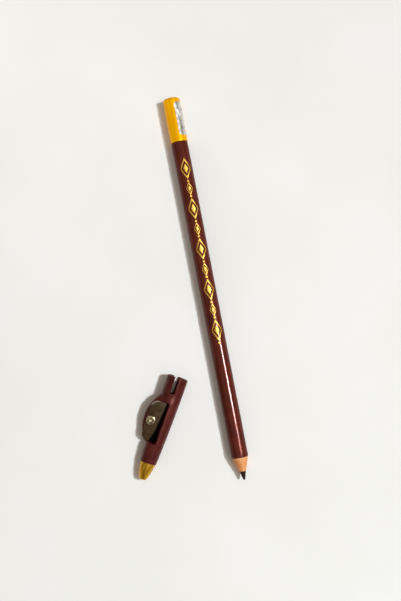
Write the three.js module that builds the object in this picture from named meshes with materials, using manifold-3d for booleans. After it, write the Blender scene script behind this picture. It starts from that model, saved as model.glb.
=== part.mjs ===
// Wood-cased eyeliner pencil with its cap off. The cap carries a small sharpener.
// Millimetres, +Z up. The pencil lies along Y with its point towards -Y.
// The cap lies beside the point, blade side up. The origin is the bottom centre of the whole layout.
import * as THREE from 'three';
import { mergeVertices } from 'three/addons/utils/BufferGeometryUtils.js';
import Module from 'manifold-3d';

// Pencil: y runs from the point (0) to the butt end.
const PENCIL_LENGTH = 174;
const BARREL_RADIUS = 3.72;
const LACQUER_THICKNESS = 0.15;
const LEAD_RADIUS = 1.4;
const LEAD_POINT_LENGTH = 3.9;
const LEAD_POINT_RADIUS = 0.5;
const LEAD_POINT_ROUND = 0.35;
const LEAD_TAPER_END = 3.8;
const CONE_END = 10.6;
const CONE_NOSE_RADIUS = 1.55;
const GLUE_SEAM = 0.06;
const FILM_GAP = 0.02;

// Gold end cup and its foil label
const END_CUP_LENGTH = 20.2;
const END_CUP_RADIUS = 3.82;
const END_CUP_WALL = 0.35;
const END_CUP_ROUND = 0.9;
const LABEL_LENGTH = 15.3;
const LABEL_FROM_END = 2.3;
const LABEL_START_ANGLE = THREE.MathUtils.degToRad(14);
const LABEL_SWEEP = THREE.MathUtils.degToRad(118);
const LABEL_THICKNESS = 0.08;

// Cap: y is 0 at the mouth and falls towards the tip.
const MOUTH_RADIUS = 4.72;
const MOUTH_ROUND = 0.55;
const SHOULDER_RADIUS = 3.69;
const SHOULDER_DEPTH = 40;
const BORE_RADIUS = 3.92;
const BORE_DEPTH = 11.65;
const LEAD_IN_DEPTH = 0.4;
const LEAD_IN_WIDTH = 0.25;
const CONE_DEPTH = 28.15;
const POINT_RELIEF_RADIUS = 0.7;
const POINT_RELIEF_DEPTH = 30.85;
const SLIT_WIDTH = 1.95;
const SLIT_DEPTH = 7.75;
const SLIT_CORNER = 0.45;
const SLIT_LEAN = THREE.MathUtils.degToRad(6);

// Gold tip cup on the nose of the cap: a bullet shape that swells a little below its base
const TIP_LENGTH = 7.95;
const TIP_BASE_RADIUS = 3.42;
const TIP_SWELL_RADIUS = 2.76;
const TIP_SWELL_DEPTH = 5.07;
const TIP_END_RADIUS = 1.9;
const TIP_FLAT_RADIUS = 0.9;
const TIP_WALL = 0.6;
const TIP_GAP = 0.05;
const TIP_ROUND = 0.97;
const TIP_BULGE = 0.3;
const NOSE_RELIEF = 1;

// Sharpener: the blade lies on a sloping seat, tangent to the tapered bore.
const SEAT_DEPTH = 21.15;
const SEAT_LOW = 0.05;
const FIN_RADIUS = 19;
const FIN_REACH = 8.62;
const FIN_THICKNESS = 4.28;
const FIN_ROUND = 0.9;
const FIN_TOP = 11.1;
const FIN_BOTTOM = -10.4;
const WINDOW_START = 12.1;
const WINDOW_END = 31.25;
const WINDOW_WALL = 0.5;
const CHIP_GAP_LEFT = -0.6;
const CHIP_GAP_DEPTH = 1.8;
const CHIP_GAP_TOP_WALL = 0.3;
const CHIP_GAP_BOTTOM_WALL = 0.5;
const BLADE_LEFT = -7;
const BLADE_EDGE = -0.45;
const BLADE_TOP = 9;
const BLADE_BOTTOM = -9.9;
const BLADE_CORNER = 3.2;
const BLADE_THICKNESS = 0.5;
const BLADE_BEVEL = 0.95;
const BLADE_EDGE_LAND = 0.04;
const SCREW_X = -4.9;
const SCREW_Y = -0.35;
const SCREW_HEAD_RADIUS = 2.1;
const SCREW_HEAD_HEIGHT = 0.95;
const SCREW_HEAD_RIM = 0.35;
const SCREW_SHANK_RADIUS = 0.85;
const SCREW_SHANK_LENGTH = 3.6;
const SCREW_POINT_RADIUS = 0.51;
const SCREW_POINT_LENGTH = 0.6;
const SCREW_HOLE_RADIUS = 0.95;
const SCREW_CROSS_LENGTH = 2.0;
const SCREW_CROSS_WIDTH = 0.5;
const SCREW_CROSS_DEPTH = 0.55;
const SEAT_GAP = 0.03;

// Where the cap lies, measured from the pencil point
const CAP_X = -20.34;
const CAP_Y = 50.19;
const CAP_TURN = THREE.MathUtils.degToRad(-30.2);

// How finely the curves are drawn, and how far a cutting solid runs past the face it cuts
const SEGMENTS = 48;
const SCREW_SEGMENTS = 24;
const LABEL_SEGMENTS = 16;
const CORNER_SEGMENTS = 8;
const CURVE_STEPS = 5;
const MERGE_TOLERANCE = 1e-4;
const OVERRUN = 1;
const WINDOW_REACH = 14;

const wasm = await Module();
wasm.setup();

// A closed geometry as a solid, ready to be joined or cut.
function solidOf(geometry) {
  const bare = geometry.clone();
  bare.deleteAttribute('normal');
  bare.deleteAttribute('uv');
  const merged = mergeVertices(bare, MERGE_TOLERANCE);
  const vertProperties = merged.attributes.position.array;
  const triVerts = new Uint32Array(merged.index.array);
  return new wasm.Manifold(new wasm.Mesh({ numProp: 3, vertProperties, triVerts }));
}

// A finished solid as a geometry.
function geometryOf(solid) {
  const mesh = solid.getMesh();
  const geometry = new THREE.BufferGeometry();
  geometry.setAttribute('position', new THREE.BufferAttribute(mesh.vertProperties, 3));
  geometry.setIndex(new THREE.BufferAttribute(mesh.triVerts, 1));
  geometry.computeVertexNormals();
  return geometry;
}

// A profile of radius and y turned about the Y axis. The start angle puts a flat facet on the table.
function turned(path, start = Math.PI / SEGMENTS, segments = SEGMENTS) {
  return new THREE.LatheGeometry(path.getPoints(CURVE_STEPS), segments, start);
}

function box(x0, x1, y0, y1, z0, z1) {
  const geometry = new THREE.BoxGeometry(x1 - x0, y1 - y0, z1 - z0);
  return geometry.translate((x0 + x1) / 2, (y0 + y1) / 2, (z0 + z1) / 2);
}

function piece(name, geometry, color, roughness, metalness) {
  const mesh = new THREE.Mesh(geometry, new THREE.MeshStandardMaterial({ color, roughness, metalness }));
  mesh.name = name;
  return mesh;
}

// Casing: two grooved half-round slats glued together, cut to a cone at the point.
const woodRadius = BARREL_RADIUS - LACQUER_THICKNESS - FILM_GAP;
const coneSlope = (BARREL_RADIUS - CONE_NOSE_RADIUS) / (CONE_END - LEAD_POINT_LENGTH);
const slatEnd = PENCIL_LENGTH - END_CUP_WALL - FILM_GAP;

function slat(upper) {
  const casing = new THREE.Path();
  casing.moveTo(0, LEAD_POINT_LENGTH);
  casing.lineTo(CONE_NOSE_RADIUS, LEAD_POINT_LENGTH);
  casing.lineTo(woodRadius, LEAD_POINT_LENGTH + (woodRadius - CONE_NOSE_RADIUS) / coneSlope);
  casing.lineTo(woodRadius, slatEnd);
  casing.lineTo(0, slatEnd);
  const groove = new THREE.Path();
  groove.moveTo(0, -OVERRUN);
  groove.lineTo(LEAD_RADIUS + FILM_GAP, -OVERRUN);
  groove.lineTo(LEAD_RADIUS + FILM_GAP, PENCIL_LENGTH + OVERRUN);
  groove.lineTo(0, PENCIL_LENGTH + OVERRUN);
  const reach = BARREL_RADIUS + OVERRUN;
  const low = upper ? GLUE_SEAM / 2 : -reach;
  const high = upper ? reach : -GLUE_SEAM / 2;
  const half = solidOf(box(-reach, reach, -OVERRUN, PENCIL_LENGTH + OVERRUN, low, high));
  return geometryOf(solidOf(turned(casing)).subtract(solidOf(turned(groove))).intersect(half));
}

// Soft pigment lead, full length, with a blunt conical point.
function lead() {
  const path = new THREE.Path();
  path.moveTo(0, 0);
  path.quadraticCurveTo(LEAD_POINT_RADIUS, 0, LEAD_POINT_RADIUS, LEAD_POINT_ROUND);
  path.lineTo(LEAD_RADIUS, LEAD_TAPER_END);
  path.lineTo(LEAD_RADIUS, slatEnd);
  path.lineTo(0, slatEnd);
  return turned(path);
}

// Lacquer skin round the casing, cut back along the cone.
function lacquer() {
  const inner = BARREL_RADIUS - LACQUER_THICKNESS;
  const path = new THREE.Path();
  path.moveTo(inner, CONE_END - LACQUER_THICKNESS / coneSlope);
  path.lineTo(BARREL_RADIUS, CONE_END);
  path.lineTo(BARREL_RADIUS, slatEnd);
  path.lineTo(inner, slatEnd);
  path.lineTo(inner, CONE_END - LACQUER_THICKNESS / coneSlope);
  return turned(path);
}

// Gold cup over the lacquered butt end, flat in the middle with a rounded rim.
function endCup() {
  const inner = BARREL_RADIUS + FILM_GAP;
  const rim = PENCIL_LENGTH - END_CUP_LENGTH;
  const path = new THREE.Path();
  path.moveTo(0, PENCIL_LENGTH - END_CUP_WALL);
  path.lineTo(inner, PENCIL_LENGTH - END_CUP_WALL);
  path.lineTo(inner, rim);
  path.lineTo(END_CUP_RADIUS, rim);
  path.lineTo(END_CUP_RADIUS, PENCIL_LENGTH - END_CUP_ROUND);
  const corner = END_CUP_RADIUS - END_CUP_ROUND;
  path.absarc(corner, PENCIL_LENGTH - END_CUP_ROUND, END_CUP_ROUND, 0, Math.PI / 2, false);
  path.lineTo(0, PENCIL_LENGTH);
  return turned(path);
}

// Thin foil label wrapped round the right side of the gold cup.
function label() {
  const inner = END_CUP_RADIUS + FILM_GAP;
  const from = Math.PI / 2 - LABEL_START_ANGLE;
  const to = from - LABEL_SWEEP;
  const shape = new THREE.Shape();
  shape.absarc(0, 0, inner + LABEL_THICKNESS, from, to, true);
  shape.absarc(0, 0, inner, to, from, false);
  shape.closePath();
  const settings = { depth: LABEL_LENGTH, bevelEnabled: false, curveSegments: LABEL_SEGMENTS };
  const geometry = new THREE.ExtrudeGeometry(shape, settings);
  geometry.rotateX(Math.PI / 2);
  return geometry.translate(0, PENCIL_LENGTH - LABEL_FROM_END, 0);
}

// Sloping seat of the blade inside the cap, as a frame of its own.
const boreSlope = Math.atan((BORE_RADIUS - POINT_RELIEF_RADIUS) / (CONE_DEPTH - BORE_DEPTH));
const seatHeight = BORE_RADIUS - (SEAT_DEPTH - BORE_DEPTH) * Math.tan(boreSlope) - SEAT_LOW;
const seatFrame = new THREE.Matrix4().makeRotationX(boreSlope).setPosition(0, -SEAT_DEPTH, seatHeight);

// Half-moon fin that carries the blade beside the tube: one side of a disc with a rounded rim.
function fin() {
  const rim = FIN_RADIUS - FIN_ROUND;
  const path = new THREE.Path();
  path.moveTo(0, -FIN_THICKNESS);
  path.lineTo(rim, -FIN_THICKNESS);
  path.absarc(rim, FIN_ROUND - FIN_THICKNESS, FIN_ROUND, -Math.PI / 2, 0, false);
  path.lineTo(FIN_RADIUS, -FIN_ROUND);
  path.absarc(rim, -FIN_ROUND, FIN_ROUND, 0, Math.PI / 2, false);
  path.lineTo(0, 0);
  const disc = turned(path).rotateX(Math.PI / 2).translate(FIN_RADIUS - FIN_REACH, 0, 0);
  const side = box(-FIN_REACH - OVERRUN, 0, FIN_BOTTOM, FIN_TOP, -FIN_THICKNESS - OVERRUN, OVERRUN);
  return geometryOf(solidOf(disc).intersect(solidOf(side))).applyMatrix4(seatFrame);
}

// Tapered bore that takes the pencil, with a lead-in at the mouth.
function bore() {
  const path = new THREE.Path();
  path.moveTo(0, -POINT_RELIEF_DEPTH);
  path.lineTo(POINT_RELIEF_RADIUS, -POINT_RELIEF_DEPTH);
  path.lineTo(POINT_RELIEF_RADIUS, -CONE_DEPTH);
  path.lineTo(BORE_RADIUS, -BORE_DEPTH);
  path.lineTo(BORE_RADIUS, -LEAD_IN_DEPTH);
  path.lineTo(BORE_RADIUS + LEAD_IN_WIDTH, 0);
  path.lineTo(BORE_RADIUS + LEAD_IN_WIDTH, OVERRUN);
  path.lineTo(0, OVERRUN);
  return turned(path, 0);
}

// Spring slit through both walls of the mouth, with rounded inner corners. It leans to one side.
function slit() {
  const left = -SLIT_WIDTH / 2;
  const right = SLIT_WIDTH / 2;
  const corner = SLIT_CORNER - SLIT_DEPTH;
  const reach = MOUTH_RADIUS + OVERRUN;
  const shape = new THREE.Shape();
  shape.moveTo(left, OVERRUN);
  shape.lineTo(left, corner);
  shape.absarc(left + SLIT_CORNER, corner, SLIT_CORNER, Math.PI, 1.5 * Math.PI, false);
  shape.absarc(right - SLIT_CORNER, corner, SLIT_CORNER, 1.5 * Math.PI, 2 * Math.PI, false);
  shape.lineTo(right, OVERRUN);
  shape.closePath();
  const settings = { depth: 2 * reach, bevelEnabled: false, curveSegments: CORNER_SEGMENTS };
  const cut = new THREE.ExtrudeGeometry(shape, settings).translate(0, 0, OVERRUN - 2 * reach);
  return cut.rotateY(SLIT_LEAN).translate(0, 0, MOUTH_RADIUS);
}

// Opening over the blade: down to the seat, with end walls square to the tube.
function window() {
  const seatAt = (depth) => seatHeight + (SEAT_DEPTH - depth) * Math.tan(boreSlope);
  const shape = new THREE.Shape();
  shape.moveTo(-WINDOW_END, seatAt(WINDOW_END));
  shape.lineTo(-WINDOW_START, seatAt(WINDOW_START));
  shape.lineTo(-WINDOW_START, WINDOW_REACH);
  shape.lineTo(-WINDOW_END, WINDOW_REACH);
  shape.closePath();
  const settings = { depth: WINDOW_REACH + WINDOW_WALL, bevelEnabled: false };
  const geometry = new THREE.ExtrudeGeometry(shape, settings);
  return geometry.rotateX(Math.PI / 2).rotateZ(Math.PI / 2).translate(-WINDOW_REACH, 0, 0);
}

// Slot beside the cutting edge that lets the shavings out of the bore.
function chipGap() {
  const top = (SEAT_DEPTH - WINDOW_START) / Math.cos(boreSlope) - CHIP_GAP_TOP_WALL;
  const bottom = (SEAT_DEPTH - WINDOW_END) / Math.cos(boreSlope) + CHIP_GAP_BOTTOM_WALL;
  const gap = box(CHIP_GAP_LEFT, WINDOW_WALL, bottom, top, -CHIP_GAP_DEPTH, OVERRUN);
  return gap.applyMatrix4(seatFrame);
}

// Hole for the blade screw, through the blade and the fin.
function screwHole() {
  const depth = 2 * (FIN_THICKNESS + OVERRUN);
  const hole = new THREE.CylinderGeometry(SCREW_HOLE_RADIUS, SCREW_HOLE_RADIUS, depth, SCREW_SEGMENTS);
  return hole.rotateX(Math.PI / 2).translate(SCREW_X, SCREW_Y, 0);
}

// Moulded cap: convex tube with a nose for the gold tip, the fin, and the cuts for the sharpener.
const tipTaper = (TIP_BASE_RADIUS - TIP_END_RADIUS) / (TIP_LENGTH - TIP_ROUND);
const noseDepth = SHOULDER_DEPTH + TIP_LENGTH - TIP_WALL - 2 * TIP_GAP - NOSE_RELIEF;
const noseRadius = TIP_BASE_RADIUS - TIP_WALL - 2 * TIP_GAP;

function capBody() {
  const tube = new THREE.Path();
  tube.moveTo(0, -noseDepth);
  tube.lineTo(noseRadius - (noseDepth - SHOULDER_DEPTH) * tipTaper, -noseDepth);
  tube.lineTo(noseRadius, -SHOULDER_DEPTH);
  tube.lineTo(SHOULDER_RADIUS, -SHOULDER_DEPTH);
  tube.quadraticCurveTo(MOUTH_RADIUS, -(SHOULDER_DEPTH + MOUTH_ROUND) / 2, MOUTH_RADIUS, -MOUTH_ROUND);
  tube.absarc(MOUTH_RADIUS - MOUTH_ROUND, -MOUTH_ROUND, MOUTH_ROUND, 0, Math.PI / 2, false);
  tube.lineTo(0, 0);
  return geometryOf(
    solidOf(turned(tube))
      .add(solidOf(fin()))
      .subtract(solidOf(window()))
      .subtract(solidOf(bore()))
      .subtract(solidOf(chipGap()))
      .subtract(solidOf(slit()))
      .subtract(solidOf(screwHole().applyMatrix4(seatFrame))),
  );
}

// Gold cup pressed on the nose of the cap.
function capTip() {
  const base = -SHOULDER_DEPTH - TIP_GAP;
  const end = -SHOULDER_DEPTH - TIP_LENGTH;
  const inside = -noseDepth - TIP_GAP;
  const bore = TIP_BASE_RADIUS - TIP_WALL - TIP_GAP;
  const path = new THREE.Path();
  path.moveTo(0, end);
  path.lineTo(TIP_FLAT_RADIUS, end);
  path.quadraticCurveTo(TIP_END_RADIUS - TIP_BULGE, end, TIP_END_RADIUS, end + TIP_ROUND);
  path.quadraticCurveTo(TIP_SWELL_RADIUS, base - TIP_SWELL_DEPTH, TIP_BASE_RADIUS, base);
  path.lineTo(bore, base);
  path.lineTo(bore - (noseDepth - SHOULDER_DEPTH) * tipTaper, inside);
  path.lineTo(0, inside);
  return turned(path);
}

// Ground steel blade with two rounded corners, a bevel along its cutting edge and a screw hole.
function blade() {
  const shape = new THREE.Shape();
  shape.moveTo(BLADE_EDGE, BLADE_BOTTOM);
  shape.lineTo(BLADE_EDGE, BLADE_TOP);
  const left = BLADE_LEFT + BLADE_CORNER;
  shape.absarc(left, BLADE_TOP - BLADE_CORNER, BLADE_CORNER, Math.PI / 2, Math.PI, false);
  shape.absarc(left, BLADE_BOTTOM + BLADE_CORNER, BLADE_CORNER, Math.PI, 1.5 * Math.PI, false);
  shape.closePath();
  const settings = { depth: BLADE_THICKNESS, bevelEnabled: false, curveSegments: CORNER_SEGMENTS };
  const plate = new THREE.ExtrudeGeometry(shape, settings).translate(0, 0, SEAT_GAP);
  const bottom = BLADE_BOTTOM - OVERRUN;
  const bevel = box(-2 * BLADE_BEVEL, BLADE_BEVEL, bottom, BLADE_TOP + OVERRUN, 0, OVERRUN);
  bevel.rotateY(Math.atan2(BLADE_THICKNESS, BLADE_BEVEL));
  bevel.translate(BLADE_EDGE, 0, SEAT_GAP + BLADE_EDGE_LAND);
  const cut = solidOf(plate).subtract(solidOf(bevel)).subtract(solidOf(screwHole()));
  return geometryOf(cut).applyMatrix4(seatFrame);
}

// Pan-head screw with a cross recess, through the blade into the fin.
function screw() {
  const under = SEAT_GAP + BLADE_THICKNESS + SEAT_GAP;
  const path = new THREE.Path();
  path.moveTo(0, -SCREW_SHANK_LENGTH);
  path.lineTo(SCREW_POINT_RADIUS, -SCREW_SHANK_LENGTH);
  path.lineTo(SCREW_SHANK_RADIUS, SCREW_POINT_LENGTH - SCREW_SHANK_LENGTH);
  path.lineTo(SCREW_SHANK_RADIUS, under);
  path.lineTo(SCREW_HEAD_RADIUS, under);
  path.lineTo(SCREW_HEAD_RADIUS, under + SCREW_HEAD_RIM);
  const top = under + SCREW_HEAD_HEIGHT;
  path.quadraticCurveTo(SCREW_HEAD_RADIUS, top, 0, top);
  const pin = turned(path, 0, SCREW_SEGMENTS).rotateX(Math.PI / 2);
  const half = SCREW_CROSS_LENGTH / 2;
  const width = SCREW_CROSS_WIDTH / 2;
  const across = box(-half, half, -width, width, top - SCREW_CROSS_DEPTH, top + OVERRUN);
  const along = box(-width, width, -half, half, top - SCREW_CROSS_DEPTH, top + OVERRUN);
  const cross = solidOf(across).add(solidOf(along));
  const geometry = geometryOf(solidOf(pin).subtract(cross));
  return geometry.translate(SCREW_X, SCREW_Y, 0).applyMatrix4(seatFrame);
}

const pencil = new THREE.Group();
pencil.name = 'pencil';
pencil.add(piece('casing_upper_half', slat(true), 0xe0a060, 0.7, 0));
pencil.add(piece('casing_lower_half', slat(false), 0xd89858, 0.7, 0));
pencil.add(piece('pigment_lead', lead(), 0x1e0c0e, 0.5, 0));
pencil.add(piece('barrel_lacquer', lacquer(), 0x4e1a1e, 0.15, 0));
pencil.add(piece('gold_end_cup', endCup(), 0xe0a21a, 0.35, 0.2));
pencil.add(piece('foil_label', label(), 0xb8b4ac, 0.3, 0.9));

const cap = new THREE.Group();
cap.name = 'cap';
cap.add(piece('cap_body', capBody(), 0x5a2428, 0.45, 0));
cap.add(piece('cap_gold_tip', capTip(), 0xc0902a, 0.3, 0.7));
cap.add(piece('sharpener_blade', blade(), 0x5a5048, 0.4, 1));
cap.add(piece('blade_screw', screw(), 0xc8c8c4, 0.25, 1));

// The cap lies on its convex side and on the fin, so its axis dips a little towards the tip.
const capDip = Math.atan((MOUTH_RADIUS - SHOULDER_RADIUS) / SHOULDER_DEPTH);
cap.rotation.set(capDip, 0, CAP_TURN, 'ZXY');
cap.position.set(CAP_X, CAP_Y, 0);

// Both lie on the same table, and the whole layout is centred over the origin.
const layout = new THREE.Group();
layout.name = 'layout';
for (const body of [pencil, cap]) {
  body.updateMatrixWorld(true);
  body.position.z -= new THREE.Box3().setFromObject(body, true).min.z;
  layout.add(body);
}
layout.updateMatrixWorld(true);
const centre = new THREE.Box3().setFromObject(layout, true).getCenter(new THREE.Vector3());
layout.position.set(-centre.x, -centre.y, 0);

const eyelinerPencil = new THREE.Group();
eyelinerPencil.name = 'eyeliner_pencil';
eyelinerPencil.add(layout);

export default eyelinerPencil;
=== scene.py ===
from math import acos, atan, atan2, cos, pi, radians, sin, sqrt, tan

import bmesh
import bpy
from mathutils import Matrix, Vector, noise


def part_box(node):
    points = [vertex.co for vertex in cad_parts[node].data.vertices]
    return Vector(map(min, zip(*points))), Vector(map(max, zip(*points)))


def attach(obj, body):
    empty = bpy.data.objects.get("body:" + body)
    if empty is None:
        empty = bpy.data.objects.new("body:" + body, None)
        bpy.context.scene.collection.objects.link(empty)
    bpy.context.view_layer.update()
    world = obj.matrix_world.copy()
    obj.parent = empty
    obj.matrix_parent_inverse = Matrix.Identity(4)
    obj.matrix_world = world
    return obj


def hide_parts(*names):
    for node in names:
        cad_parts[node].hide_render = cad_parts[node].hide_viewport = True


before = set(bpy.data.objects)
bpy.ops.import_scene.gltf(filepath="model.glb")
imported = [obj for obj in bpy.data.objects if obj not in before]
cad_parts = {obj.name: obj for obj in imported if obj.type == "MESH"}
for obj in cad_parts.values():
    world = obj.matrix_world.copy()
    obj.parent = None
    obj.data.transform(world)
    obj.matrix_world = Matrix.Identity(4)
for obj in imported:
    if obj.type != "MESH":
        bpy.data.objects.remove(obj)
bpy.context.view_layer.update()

# Camera
# The pencil is seen from almost straight above, 41 cm over the table.
# The picture is turned 11 degrees against the pencil and looks 3 degrees up along it.
# Sizes in this file are in millimetres and angles in degrees. MM turns millimetres into metres.
MM = 0.001
PICTURE_LONG_SIDE = 601
FOCAL_PIXELS = 905
SENSOR_LONG_SIDE = 36
PICTURE_TURN = 10.888
CAMERA_TILT = 2.94
CAMERA_PLACE = Vector((12.86, -25.569, 408.674))
ALONG_TABLE = Vector((0, 1, 0))
UPWARDS = Vector((0, 0, 1))


def add_object(name, data):
    thing = bpy.data.objects.new(name, data)
    bpy.context.collection.objects.link(thing)
    return thing


picture_up = Vector((sin(radians(PICTURE_TURN)), cos(radians(PICTURE_TURN)), 0))
forward = (picture_up * tan(radians(CAMERA_TILT)) - UPWARDS).normalized()
right = forward.cross(picture_up).normalized()
camera_turn = Matrix((right, right.cross(forward), -forward)).transposed().to_4x4()
camera = add_object("camera", bpy.data.cameras.new("camera"))
camera.data.sensor_width = SENSOR_LONG_SIDE
camera.data.lens = FOCAL_PIXELS * SENSOR_LONG_SIDE / PICTURE_LONG_SIDE
camera.matrix_world = Matrix.Translation(CAMERA_PLACE * MM) @ camera_turn
bpy.context.scene.camera = camera
bpy.context.scene.view_settings.view_transform = "Standard"

# Softbox
# One softbox stands to the right of the picture, 32 degrees off the vertical.
# Its long side runs along the pencil, so the lacquer mirrors it as one thin bright line.
# A grid narrows its beam, and it is turned a little towards the near end of the table.
SOFTBOX_DISTANCE = 3000
SOFTBOX_WIDTH = 260
SOFTBOX_LENGTH = 300
SOFTBOX_WATTS = 9.4
SOFTBOX_SPREAD = 70
SOFTBOX_TARGET = Vector((-10, -220, 0))
STUDIO_TINT = (0.9, 0.96, 1.0)
LIT_SPOT = Vector((20.87, -43.5, 7.5))
softbox_way = Vector((0.63, -0.045, 1)).normalized()


def hang_lamp(name, place, target, level, width, length, watts, tint):
    back = (place - target).normalized()
    along = (level - back * back.dot(level)).normalized()
    turn = Matrix((along.cross(back), along, back)).transposed().to_4x4()
    lamp = add_object(name, bpy.data.lights.new(name, "AREA"))
    lamp.data.shape = "RECTANGLE"
    lamp.data.size = width * MM
    lamp.data.size_y = length * MM
    lamp.data.energy = watts
    lamp.data.color = tint
    lamp.matrix_world = Matrix.Translation(place * MM) @ turn
    return lamp


softbox = hang_lamp(
    "softbox", LIT_SPOT + softbox_way * SOFTBOX_DISTANCE, SOFTBOX_TARGET, ALONG_TABLE,
    SOFTBOX_WIDTH, SOFTBOX_LENGTH, SOFTBOX_WATTS, STUDIO_TINT)
softbox.data.spread = radians(SOFTBOX_SPREAD)

# Second panel
# A long, dimmer panel stands beside the softbox and reaches nearer to the viewer.
# The cap and the lower end of the pencil mirror it as a soft sheen.
PANEL_WIDTH = 350
PANEL_LENGTH = 1300
PANEL_WATTS = 14
panel_way = Vector((0.45, -0.22, 1)).normalized()
hang_lamp(
    "panel", LIT_SPOT + panel_way * SOFTBOX_DISTANCE, LIT_SPOT, ALONG_TABLE,
    PANEL_WIDTH, PANEL_LENGTH, PANEL_WATTS, STUDIO_TINT)

# Fill lamp
# A small warm lamp stands low on the upper left.
# It lights the left side of the gold end and the shadow beside it.
FILL_SIZE = 120
FILL_WATTS = 0.021
FILL_SPREAD = 80
FILL_TINT = (1.0, 0.9, 0.8)
FILL_PLACE = Vector((-150, 205, 95))
FILL_TARGET = Vector((17, 78, 4))
fill = hang_lamp("fill", FILL_PLACE, FILL_TARGET, UPWARDS, FILL_SIZE, FILL_SIZE, FILL_WATTS, FILL_TINT)
fill.data.spread = radians(FILL_SPREAD)
fill.visible_camera = False

# Room
# A low, pale backdrop stands round the table, and above it the room is a dimmer grey.
# The left side of the room is darker, and the ceiling right overhead is light again.
ROOM_BACKDROP = "#B8B5B0"
ROOM_WALL = "#7E766B"
ROOM_CEILING = "#B3AAA0"
ROOM_LEFT = "#565049"
BACKDROP_TOP = 0.08
WALL_START = 0.25
CEILING_START = 0.5
CEILING_FULL = 0.9
SIDE_BLEND = 0.35


def linear(colour):
    channels = [int(colour[i:i + 2], 16) / 255 for i in (1, 3, 5)]
    return (*[c / 12.92 if c <= 0.04045 else ((c + 0.055) / 1.055) ** 2.4 for c in channels], 1)


def connect(node, inputs):
    for name, value in inputs.items():
        for source in value if isinstance(value, list) else [value]:
            if isinstance(source, bpy.types.NodeSocket):
                node.id_data.links.new(source, node.inputs[name])
            else:
                node.inputs[name].default_value = source


def add_node(tree, kind, inputs=None, output=0, **settings):
    node = tree.nodes.new(kind)
    for name, value in settings.items():
        setattr(node, name, value)
    connect(node, inputs or {})
    return node.outputs[output] if node.outputs else node


def set_ramp(colour, *stops):
    elements = colour.node.color_ramp.elements
    while len(elements) < len(stops):
        elements.new(1)
    for element, (place, shade) in zip(elements, stops):
        element.position = place
        element.color = linear(shade)
    return colour


room = bpy.data.worlds.new("room")
room.use_nodes = True
bpy.context.scene.world = room
tree = room.node_tree
direction = add_node(tree, "ShaderNodeTexCoord", output="Generated")
way = add_node(tree, "ShaderNodeSeparateXYZ", {0: direction}).node.outputs
left_side, right_side = [
    set_ramp(
        add_node(tree, "ShaderNodeValToRGB", {0: way["Z"]}),
        (0, ROOM_BACKDROP), (BACKDROP_TOP, ROOM_BACKDROP), (WALL_START, wall),
        (CEILING_START, wall), (CEILING_FULL, ROOM_CEILING))
    for wall in (ROOM_LEFT, ROOM_WALL)]
side = add_node(
    tree, "ShaderNodeMapRange", {"Value": way["X"], "From Min": -SIDE_BLEND, "From Max": SIDE_BLEND})
shade = add_node(tree, "ShaderNodeMix", {0: side, 6: left_side, 7: right_side}, output=2, data_type="RGBA")
connect(tree.nodes["Background"], {"Color": shade})

# Table top
# A flat board with a matt white rolled paint, faintly mottled.
# It isn't part of the object, which lies on it.
TABLE_HALF = 3000
TABLE_DROP = 0.05
TABLE_MOTTLE = 60
TABLE_WHITE = "#F2F0ED"
TABLE_SHADE = "#EEECE7"


def start_material(name, sockets):
    material = bpy.data.materials.new(name)
    material.use_nodes = True
    tree = material.node_tree
    shader = tree.nodes["Principled BSDF"]
    connect(shader, sockets)
    return material, tree, shader, add_node(tree, "ShaderNodeTexCoord", output="Object")


painted_board, tree, shader, place = start_material("painted_board", {"Roughness": 0.85})
mottle = add_node(
    tree, "ShaderNodeTexNoise", {"Vector": place, "Scale": 1 / (TABLE_MOTTLE * MM), "Detail": 3})
shade = set_ramp(
    add_node(tree, "ShaderNodeValToRGB", {0: mottle}), (0.35, TABLE_SHADE), (0.65, TABLE_WHITE))
connect(shader, {"Base Color": shade})
half = TABLE_HALF * MM
table_corners = [(x * half, y * half, -TABLE_DROP * MM) for x, y in ((-1, -1), (1, -1), (1, 1), (-1, 1))]
table_mesh = bpy.data.meshes.new("table_top")
table_mesh.from_pydata(table_corners, [], [(0, 1, 2, 3)])
table_mesh.materials.append(painted_board)
table_top = add_object("table_top", table_mesh)

# Pigment lead
# Soft wax and pigment, extruded as a rod through the whole pencil and cut to a blunt cone.
# The sharpener leaves shallow scraped flats on the cone.
LEAD_RADIUS = 1.4
LEAD_POINT_RADIUS = 0.5
LEAD_POINT_ROUND = 0.35
LEAD_TAPER_END = 3.8
LEAD_STEPS = 12
SCRAPE_DEPTH = 0.03
SCRAPE_START = 0.2
SCRAPES_AROUND = 2.2
SCRAPES_ALONG = 0.9
PENCIL_POINT = -87.0
PENCIL_BUTT = 87.0
SLAT_END = PENCIL_BUTT - 0.37
TURNED_SEGMENTS = 128
CRUMB_SIZE = 0.2
CRUMB_DEPTH = 0.03
LEAD_DARK = "#1C0B09"
LEAD_LIGHT = "#3A1A16"

cup_low, cup_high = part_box("gold_end_cup")
pencil_axis = Vector(((cup_low[0] + cup_high[0]) / 2, 0, (cup_low[2] + cup_high[2]) / 2))
pencil_place = Matrix.Translation(pencil_axis) @ Matrix.Scale(MM, 4)


def arc(centre_r, centre_y, radius, start, end, steps=8):
    turns = [radians(start + (end - start) * i / steps) for i in range(steps + 1)]
    return [(centre_r + radius * cos(t), centre_y + radius * sin(t)) for t in turns]


def bridge(mesh, a, b):
    count = max(len(a), len(b))
    for i in range(count):
        j = (i + 1) % count
        corners = [a[i % len(a)], a[j % len(a)], b[j % len(b)], b[i % len(b)]]
        mesh.faces.new(list(dict.fromkeys(corners)))


def closed_mesh(name, mesh):
    bmesh.ops.recalc_face_normals(mesh, faces=mesh.faces)
    result = bpy.data.meshes.new(name)
    mesh.to_mesh(result)
    mesh.free()
    return result


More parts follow.
